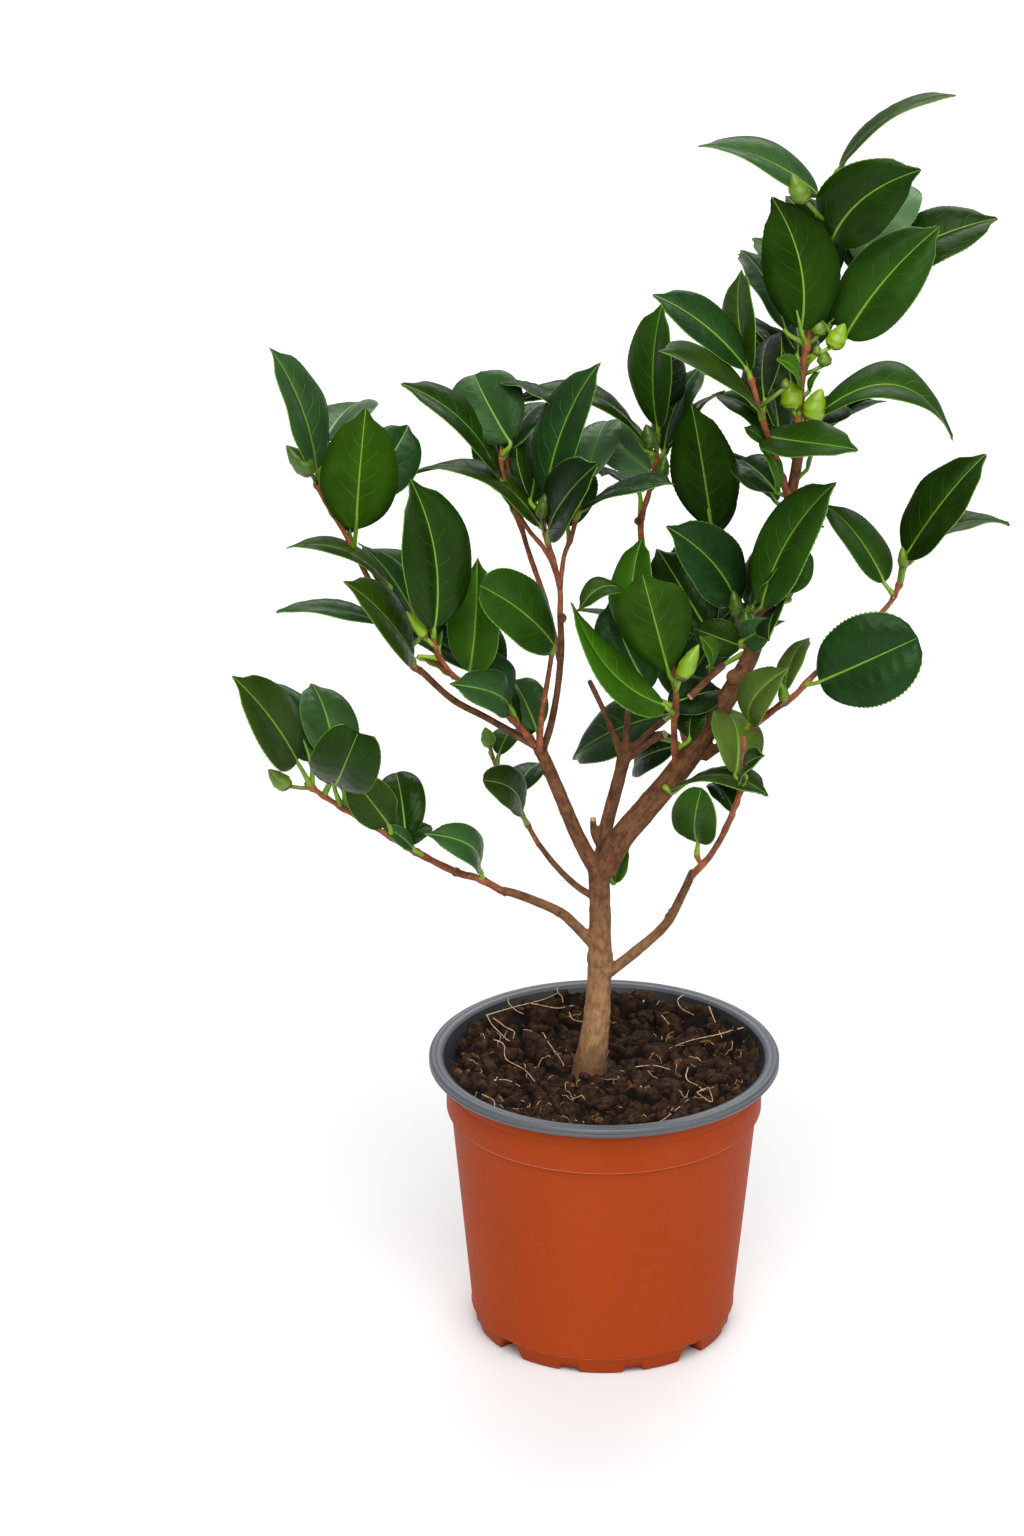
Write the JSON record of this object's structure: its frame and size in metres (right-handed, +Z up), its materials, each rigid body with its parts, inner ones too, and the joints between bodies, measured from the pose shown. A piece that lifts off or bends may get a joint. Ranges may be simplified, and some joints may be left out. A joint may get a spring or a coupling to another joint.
{
  "type": "camellia shrub in a nursery pot",
  "caption": "Young camellia shrub with forked stem, glossy leaves and buds, standing in a round two-tone nursery pot.",
  "frame": {"origin": "centre of the flat underside of the pot, where it stands on the ground", "axes": "+Z up along the pot's axis, +Y away from the viewer of the picture, +X to the viewer's right"},
  "size_m": [0.2905, 0.1831, 0.499],
  "materials": {
    "pot": "smooth matt terracotta plastic",
    "pot_rim": "smooth matt dark grey plastic",
    "soil": "dark chunky peat with fine pale root fibres",
    "bark": "tan to red-brown bark with knobs and scars",
    "foliage": "glossy dark green leaves, paler beneath"
  },
  "bodies": {
    "root": {"pot": "pot", "pot_rim": "pot_rim", "potting_soil": "soil", "trunk": "bark", "leader": "bark", "left_bough": "bark", "middle_bough": "bark", "left_low_bough": "bark", "inner_bough": "bark", "upper_bough": "bark", "right_bough": "bark", "lower_right_bough": "bark", "lower_left_bough": "bark", "low_twig": "bark", "foliage_crown": "foliage", "foliage_crown_left": "foliage", "foliage_upper_middle": "foliage", "foliage_centre_left": "foliage", "foliage_upper_left": "foliage", "foliage_left_middle": "foliage", "foliage_inner_left": "foliage", "foliage_low_left": "foliage", "foliage_low_middle": "foliage", "foliage_middle": "foliage", "foliage_centre_right": "foliage", "foliage_right_middle": "foliage", "foliage_right": "foliage", "foliage_low_right": "foliage", "foliage_back_left": "foliage", "foliage_back_upper_left": "foliage", "foliage_back_middle": "foliage", "foliage_back_right": "foliage", "foliage_back_crown": "foliage"}
  },
  "joints": []
}
